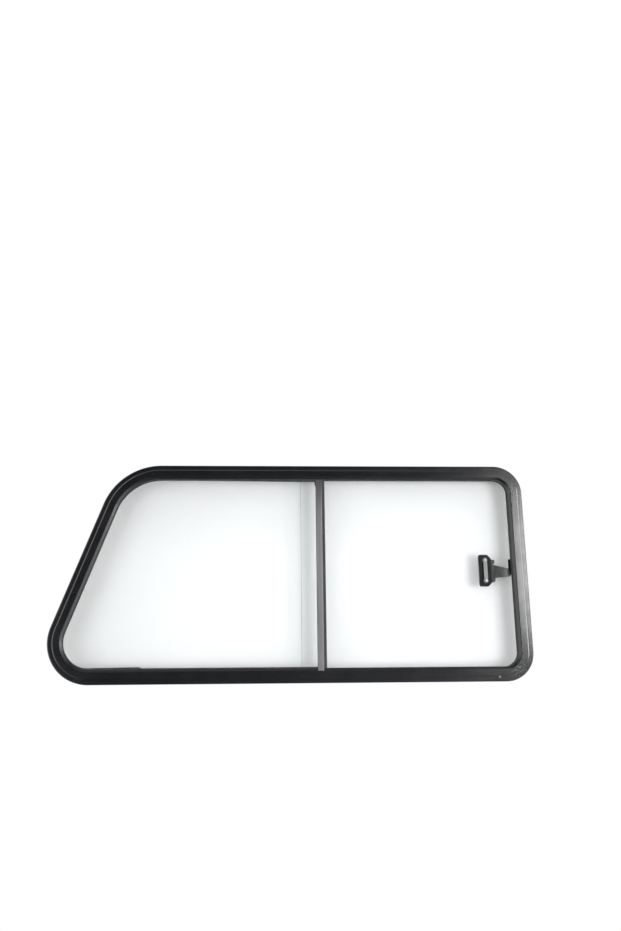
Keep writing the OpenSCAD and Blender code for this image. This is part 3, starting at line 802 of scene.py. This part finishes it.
LOW_GLASS, HIGH_GLASS = BASE_Z + GLASS_IN, TOP_Z - GLASS_IN
grind_edges(pane_with_holes(
    "sliding_pane_glass",
    [(LEADING_X, LOW_GLASS, 38), (TRAILING_X, LOW_GLASS, 8),
     (TRAILING_X, HIGH_GLASS, 8), (LEADING_X, HIGH_GLASS, 38)],
    [(LATCH_X, LATCH_Z - HOLE_HALF, 4.5), (LATCH_X, LATCH_Z + HOLE_HALF, 4.5)],
    SLIDER_Y, SLIDER_Y + GLASS_T, "sliding_pane", M_GLASS,
    stands_for=["sliding_glass"], slot="clear_glass"))


# Latch: a crowned bar with ears on the pane, its screws, the lever, and the keeper on the jamb

def along_z(a, b, h):
    """Places a slab whose outline is in x and depth, and whose levels are heights."""
    return (a, b, h)


bar_l, bar_r = LATCH_X - LATCH_HALF_W, LATCH_X + LATCH_HALF_W
bar_low, bar_high = LATCH_Z - LATCH_HALF_H, LATCH_Z + LATCH_HALF_H
base_outline = rounded_outline([
    (bar_r, bar_low + 8, 3), (bar_r - 8, bar_low, 3), (bar_l, bar_low, 4), (bar_l, bar_high, 4),
    (bar_r - 8, bar_high, 3), (bar_r, bar_high - 8, 3),
])
slab("latch_base_bar", base_outline,
     [(11.8, 0.4), (12.1, 0.0), (17.2, 0.0), (18.0, 0.15), (18.8, 0.6), (19.4, 1.3), (19.7, 2.3),
      (19.8, 3.4)],
     "sliding_pane", M_PLASTIC, stands_for=["latch_base"], slot="black_plastic", sharp=50)
EAR_R, EAR_PITCH = 4, 38.6
ear = [(421.0, 12.2), (434.0, 12.2)]
for degrees in range(0, 136, 15):
    a = math.radians(degrees)
    ear.append((PIN_X + EAR_R * math.cos(a), PIN_Y + EAR_R * math.sin(a)))
ear += [(423.6, 25.6), (421.6, 24.2), (421.0, 22.4)]
slab("latch_ears", ear, rounded_levels(15.3, 23.3, 0.6), "sliding_pane", M_PLASTIC, place=along_z,
     slot="black_plastic", sharp=50, copies=((0, 0, LATCH_Z), (0, 0, LATCH_Z - EAR_PITCH)))
turned("latch_screw_set", LATCH_X, LATCH_Z,
       [(5.8, 1.9), (6.2, 2.45), (19.8, 2.45), (19.8, 4.4), (20.6, 4.45), (21.6, 4.0), (22.15, 3.1),
        (22.3, 2.2), (22.3, hexagon(1.6)), (22.1, hexagon(1.5)), (20.9, hexagon(1.5))],
       "sliding_pane", M_STEEL, stands_for=["latch_screws"], slot="steel", sharp=30,
       copies=((0, 0, -HOLE_HALF), (0, 0, HOLE_HALF)))
strip_outline = rounded_outline([
    (LATCH_X + 4, LATCH_Z - 26.5, 2.5), (LATCH_X - 4, LATCH_Z - 26.5, 2.5),
    (LATCH_X - 4, LATCH_Z + 26.5, 2.5), (LATCH_X + 4, LATCH_Z + 26.5, 2.5),
])
slab("latch_clamp_skin", strip_outline, rounded_levels(5.85, 7.8, 0.35), "sliding_pane", M_STRIP,
     stands_for=["latch_clamp_strip"], slot="steel", sharp=45)

# Shares of the half width across the lever's top, and whether the groove dips there
LEVER_TOP = ((-0.9, 0), (-0.56, 0), (-0.48, 1), (-0.36, 1), (-0.28, 0),
             (0.28, 0), (0.36, 1), (0.48, 1), (0.56, 0), (0.9, 0))


def lever_ring(x, low, high, half, groove=0.0):
    """One section of the lever as it holds the keeper: a rounded bar with two grooves on its top."""
    r = min(0.7, (high - low) * 0.3)
    loop = [(low, -half + r), (low + 0.3 * r, -half + 0.3 * r), (low + r, -half), (high - r, -half),
            (high - 0.3 * r, -half + 0.3 * r)]
    loop += [(high - dip * groove, share * half) for share, dip in LEVER_TOP]
    loop += [(high - 0.3 * r, half - 0.3 * r), (high - r, half), (low + r, half),
             (low + 0.3 * r, half - 0.3 * r), (low, half - r)]
    return [(x, y, LATCH_Z + z) for y, z in loop]


# Half widths at the pin and at the tooth, the reach between them, and the radius round the pin
WIDE_HALF, NARROW_HALF, LEVER_REACH, EYE_R = 15.0, 8.25, 45.5, 3.7


def lever_half(x):
    """Half the lever's width at x."""
    return WIDE_HALF + (NARROW_HALF - WIDE_HALF) * max(0.0, x - PIN_X) / LEVER_REACH


lever = []
for degrees in (172, 155, 135, 112, 90):
    a = math.radians(degrees)
    lever.append(lever_ring(PIN_X + EYE_R * math.cos(a), PIN_Y - EYE_R * math.sin(a),
                            PIN_Y + EYE_R * math.sin(a), WIDE_HALF - 0.05))
# Place, underside and top of the sections from the pin to the tooth, and how deep the grooves are
lever_sections = [(432.6, 22.9, 28.6, 0), (434.6, 23.35, 27.7, 0), (437, 23.5, 27.1, 0),
                  (439, 23.5, 27.0, 0), (440, 23.5, 26.95, 0.7), (455, 23.5, 26.9, 0.6),
                  (456, 23.5, 26.9, 0)]
for rib in (459.0, 462.0, 465.0, 468.0):
    lever_sections += [(rib + dx, 23.5, 26.9 + rise, 0)
                       for dx, rise in ((-0.75, 0.0), (-0.4, 0.5), (0.4, 0.55), (0.75, 0.0))]
lever_sections += [(471.3, 23.5, 27.0, 0), (471.5, 21.0, 27.2, 0), (471.9, 20.72, 27.4, 0),
                   (474.6, 20.72, 27.45, 0)]
lever += [lever_ring(x, low, high, lever_half(x), groove) for x, low, high, groove in lever_sections]
lever += [lever_ring(475.2, 21.0, 27.2, lever_half(475.2) - 0.2),
          lever_ring(475.45, 21.6, 26.6, lever_half(475.4) - 0.7)]
LIFT = math.radians(20)
lifted = [[(PIN_X + (x - PIN_X) * math.cos(LIFT) - (y - PIN_Y) * math.sin(LIFT),
            PIN_Y + (x - PIN_X) * math.sin(LIFT) + (y - PIN_Y) * math.cos(LIFT), z) for x, y, z in ring]
          for ring in lever]
loft("latch_lever_skin", lifted, [ring[0][0] for ring in lever], False, "latch_lever", M_PLASTIC,
     stands_for=["latch_lever"], slot="black_plastic", sharp=38)

KEEPER_X, KEEPER_Y, KEEPER_HALF_H = 466, 17.25, 17
keeper_low, keeper_high = KEEPER_Z - KEEPER_HALF_H, KEEPER_Z + KEEPER_HALF_H
for name, width, top, arris, nodes in (
    ("keeper_plate", 20.0, 20.2, 0.5, ["latch_keeper"]), ("keeper_ridge", 4.5, 23.0, 1.0, []),
):
    outline = rounded_outline([
        (KEEPER_X + width, keeper_low, 0.5), (KEEPER_X + 3.5, keeper_low, 0.4),
        (KEEPER_X, keeper_low + 9, 1.5), (KEEPER_X, keeper_high, 1.0),
        (KEEPER_X + width, keeper_high, 0.8)], steps=4)
    slab(name, outline, rounded_levels(KEEPER_Y, top, 0.3, arris), "frame", M_PLASTIC,
         stands_for=nodes, slot="black_plastic", sharp=45)
SCREW_PITCH, RIVET_PITCH = 34 / 3, 17.5
turned("keeper_screw_heads", KEEPER_X + 15, KEEPER_Z,
       [(20.2, 3.3), (20.7, 3.25), (21.2, 2.85), (21.6, 2.1), (21.7, 1.6), (21.7, cross(1.45, 0.4)),
        (21.6, cross(1.35, 0.34)), (20.7, cross(0.9, 0.28))],
       "frame", M_STEEL, stands_for=["keeper_screws"], slot="steel", sharp=30, steps=64,
       copies=((0, 0, -SCREW_PITCH), (0, 0, SCREW_PITCH)))
turned("joint_rivet_heads", JOINT_X, BASE_Z + 17.5,
       [(18.7, 2.5), (18.85, 2.5), (19.35, 2.1), (19.65, 1.4), (19.7, 0.85), (19.6, 0.75), (19.1, 0.7)],
       "frame", M_ALUMINIUM, stands_for=["joint_rivets"], slot="bare_metal", sharp=35, steps=32,
       copies=tuple((RIVET_PITCH * k, 0, 0) for k in (-1.5, -0.5, 0.5, 1.5)))


# CAD nodes that stay: fine arrises and their own materials

for node, material, width in (
    ("frame_joint_plate", M_ALUMINIUM, 0.4), ("mullion_top_cleat", M_PLASTIC, 0.3),
    ("mullion_bottom_cleat", M_PLASTIC, 0.3), ("top_travel_stop", M_SEAL, 0.5),
    ("bottom_travel_stop", M_SEAL, 0.5), ("bottom_glide_shoes", M_NYLON, 0.2),
    ("top_glide_shoes", M_NYLON, 0.2), ("latch_hole_bushes", M_NYLON, 0.0), ("latch_pin", M_STEEL, 0.3),
):
    obj = NODES[node]
    obj.data.materials.clear()
    obj.data.materials.append(material)
    bevel = obj.modifiers.new("arris", "BEVEL")
    bevel.width = width * MM
    bevel.segments = 2
    bevel.limit_method = "ANGLE"
    bevel.angle_limit = math.radians(40)
    bevel.harden_normals = True


# Studio: a pale card close behind the window, a pale floor and white all round

def stage_plane(name, points, material):
    """A flat face that belongs to the studio."""
    mesh = bpy.data.meshes.new(name)
    mesh.from_pydata([Vector(p) for p in points], [], [tuple(range(len(points)))])
    mesh.materials.append(material)
    obj = bpy.data.objects.new(name, mesh)
    bpy.context.scene.collection.objects.link(obj)
    return obj


WHITE = 0.90
FLOOR_GLOW, FLOOR_GREY = 0.76, 0.10


def paper(name):
    """Matt white paper, for the stage."""
    t = Tree(name)
    t.bsdf.inputs["Base Color"].default_value = grey(WHITE)
    t.bsdf.inputs["Roughness"].default_value = 0.9
    t.bsdf.inputs["Specular IOR Level"].default_value = 0.0
    return t


def card_paper():
    """White paper, with painted shade towards the top and the slanted end, that shows from the front
    through the glass only."""
    t = paper("card_paper")
    place = t.place()
    # Painted shade: the paper darkens towards the slanted end and towards the top.
    across = t.math("SUBTRACT", t.math("MULTIPLY", place["X"], math.cos(SLANT)),
                    t.math("MULTIPLY", place["Z"], math.sin(SLANT)))
    painted_shade = t.math("MULTIPLY", t.ramp(across, -0.46, -0.20, 0.925, 1.0),
                  t.ramp(place["Z"], 0.24, 0.38, 1.0, 0.945))
    t.link(t.mix(painted_shade, grey(0.0), grey(WHITE)), t.bsdf.inputs["Base Color"])
    hidden = t.math("MAXIMUM", t.node("ShaderNodeNewGeometry").outputs["Backfacing"],
                    t.node("ShaderNodeLightPath").outputs["Is Camera Ray"])
    clear = t.node("ShaderNodeBsdfTransparent")
    return t.mixed_shader(hidden, t.bsdf.outputs["BSDF"], clear.outputs["BSDF"])


def floor_paper():
    """White paper that shows pale and even, with the shadows faint on it."""
    t = paper("floor_paper")
    path = t.node("ShaderNodeLightPath")
    glow = t.node("ShaderNodeEmission")
    glow.inputs["Strength"].default_value = FLOOR_GLOW
    faint = t.node("ShaderNodeBsdfDiffuse")
    faint.inputs["Color"].default_value = grey(FLOOR_GREY)
    both = t.node("ShaderNodeAddShader")
    t.link(glow.outputs["Emission"], both.inputs[0])
    t.link(faint.outputs["BSDF"], both.inputs[1])
    seen = t.math("MAXIMUM", path.outputs["Is Camera Ray"], path.outputs["Is Transmission Ray"])
    return t.mixed_shader(seen, t.bsdf.outputs["BSDF"], both.outputs["Shader"])


CARD_INSET, CARD_Y, CARD_LIFT = 16, 0.050, 0.004
card_marks = span(0.0, ROUND, arc=math.radians(4))[:-1]
card = [(x * MM, CARD_Y, z * MM + CARD_LIFT) for x, z in outline_points(card_marks, CARD_INSET)]
stage_plane("backdrop_card", card[::-1], card_paper())
FLOOR_Z, FLOOR_SIDE, FLOOR_FRONT, FLOOR_BACK = -0.9, 4, -5, 1.7
floor = stage_plane(
    "studio_floor",
    [(-FLOOR_SIDE, FLOOR_FRONT, FLOOR_Z), (FLOOR_SIDE, FLOOR_FRONT, FLOOR_Z),
     (FLOOR_SIDE, FLOOR_BACK, FLOOR_Z), (-FLOOR_SIDE, FLOOR_BACK, FLOOR_Z)],
    floor_paper())
floor.visible_glossy = False

world = bpy.data.worlds.new("white_studio")
bpy.context.scene.world = world
world.use_nodes = True
w = Nodes(world.node_tree)
path = w.node("ShaderNodeLightPath")
look = w.place("Generated")

# In reflections it is dark straight in front of the window, and paler to the sides, above and behind
left_side = w.math("MULTIPLY", w.ramp(look["X"], -0.26, -0.46, 0.0, 1.45),
                   w.ramp(look["Z"], -0.38, -0.20, 0.3, 1.0))
right_side = w.ramp(look["X"], 0.15, 0.55, 0.0, 1.15)
above = w.ramp(look["Z"], 0.45, 1.15)
behind = w.ramp(look["Y"], 0.1, 0.5)
around = w.math("MAXIMUM", w.math("MAXIMUM", left_side, right_side), w.math("MAXIMUM", above, behind))
ground = w.math("MULTIPLY", w.ramp(look["Z"], 0.14, -0.02, 0.0, 0.15),
                w.ramp(look["X"], -0.10, 0.25, 0.15, 1.4))
haze = w.ramp(look["X"], -0.20, -0.05, 0.045, 0.085)
reflected = w.math("ADD", w.math("ADD", around, ground), haze)

# White to the camera and through glass, and a low level on matt surfaces
DIFFUSE_LEVEL = 0.22
glossy_ray = path.outputs["Is Glossy Ray"]
seen = w.math("MAXIMUM", path.outputs["Is Camera Ray"], path.outputs["Is Transmission Ray"])
diffuse_share = w.math("SUBTRACT", 1.0, w.math("MAXIMUM", seen, glossy_ray, True), True)
unseen = w.math("SUBTRACT", 1.0, seen, True)
mirrored = w.math("MULTIPLY", w.math("MULTIPLY", glossy_ray, reflected), unseen)
level = w.math("ADD", w.math("ADD", seen, w.math("MULTIPLY", diffuse_share, DIFFUSE_LEVEL)), mirrored)
background = w.tree.nodes["Background"]
w.link(level, background.inputs["Strength"])
background.inputs["Color"].default_value = grey(1.0)


def area_lamp(name, middle, way, width, height, power):
    """A rectangular lamp that shines against the way, hidden to the camera and through glass."""
    lamp = bpy.data.lights.new(name, "AREA")
    lamp.shape = "RECTANGLE"
    lamp.size, lamp.size_y, lamp.energy = width, height, power
    obj = bpy.data.objects.new(name, lamp)
    bpy.context.scene.collection.objects.link(obj)
    obj.location = middle
    obj.rotation_euler = way.to_track_quat("Z", "Y").to_euler()
    obj.visible_camera = obj.visible_transmission = False
    return obj


LAMP_TARGET = Vector((0.2, 0.0, 0.2))
SLIDING_END = Vector((0.49, 0.0, 0.25))


def soft_box(name, azimuth, elevation, distance, width, height, power):
    """A lamp that lights the window from a direction given round from -Y towards +X, and isn't
    mirrored in it."""
    a, e = math.radians(azimuth), math.radians(elevation)
    way = Vector((math.sin(a) * math.cos(e), -math.cos(a) * math.cos(e), math.sin(e)))
    area_lamp(name, LAMP_TARGET + way * distance, way, width, height, power).visible_glossy = False


def glossy_card(name, middle, width, height, radiance):
    """A lamp that shows only in reflections, and faces the sliding end."""
    way = (Vector(middle) - SLIDING_END).normalized()
    area_lamp(name, middle, way, width, height, radiance * math.pi * width * height).visible_diffuse = False


soft_box("key", 27, -9, 2.6, 1.0, 0.9, 32.3)
soft_box("fill", -34, -9, 2.8, 3.0, 1.6, 45)
glossy_card("jamb_reflection", (1.565, -3.0, 0.75), 0.50, 0.76, 8.8)
glossy_card("side_reflection", (2.90, -1.0, 0.60), 1.60, 1.60, 7.0)


# Camera at the photograph's viewing angle: place in metres, angles in degrees, focal length in pixels

CAM = dict(x=-0.0585, y=-1.8708, z=-0.0739, pitch=15.776, yaw=3.020, roll=-0.635, focal=893.57)
LONG_SIDE_PX, SENSOR = 931, 36.0
camera_data = bpy.data.cameras.new("camera")
camera_data.sensor_width = SENSOR
camera_data.sensor_fit = "AUTO"
camera_data.lens = CAM["focal"] / LONG_SIDE_PX * SENSOR
camera_data.clip_start, camera_data.clip_end = 0.05, 50
camera = bpy.data.objects.new("camera", camera_data)
bpy.context.scene.collection.objects.link(camera)
bpy.context.scene.camera = camera
pitch, yaw, roll = (math.radians(CAM[k]) for k in ("pitch", "yaw", "roll"))
forward = Vector((math.sin(yaw) * math.cos(pitch), math.cos(yaw) * math.cos(pitch), math.sin(pitch)))
level_right = forward.cross(Vector((0, 0, 1))).normalized()
level_up = level_right.cross(forward)
right = math.cos(roll) * level_right + math.sin(roll) * level_up
up = -math.sin(roll) * level_right + math.cos(roll) * level_up
turn_matrix = Matrix((right, up, -forward)).transposed().to_4x4()
camera.matrix_world = Matrix.Translation((CAM["x"], CAM["y"], CAM["z"])) @ turn_matrix

bpy.context.scene.view_settings.view_transform = "Standard"
